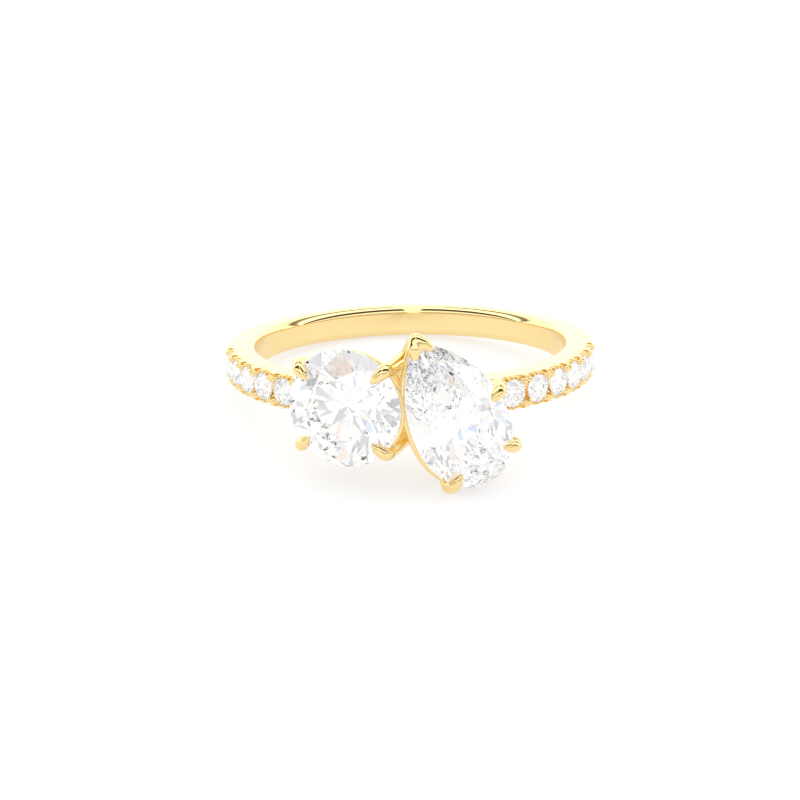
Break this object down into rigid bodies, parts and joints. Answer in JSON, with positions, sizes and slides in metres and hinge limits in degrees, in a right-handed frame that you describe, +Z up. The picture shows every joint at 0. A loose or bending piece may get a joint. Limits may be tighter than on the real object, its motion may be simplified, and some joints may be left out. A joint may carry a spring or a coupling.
{
  "type": "toi et moi ring",
  "caption": "Yellow gold ring lying on its side, with a round and a pear-shaped diamond side by side in open claw baskets and paved shoulders.",
  "frame": {"origin": "on the surface that the ring lies on, below the middle of its box", "axes": "+Z up, the two large stones face -Y with the round one towards -X, and the finger's axis is 8.6 degrees off +Z because the ring lies on its side, propped by the pear's lowest claw"},
  "size_m": [0.0206, 0.0238, 0.0086],
  "materials": {
    "gold": "polished 18 carat yellow gold",
    "diamond": "polished facets"
  },
  "bodies": {
    "root": {"gold_mount": "gold", "round_stone": "diamond", "pear_stone": "diamond"}
  },
  "joints": []
}
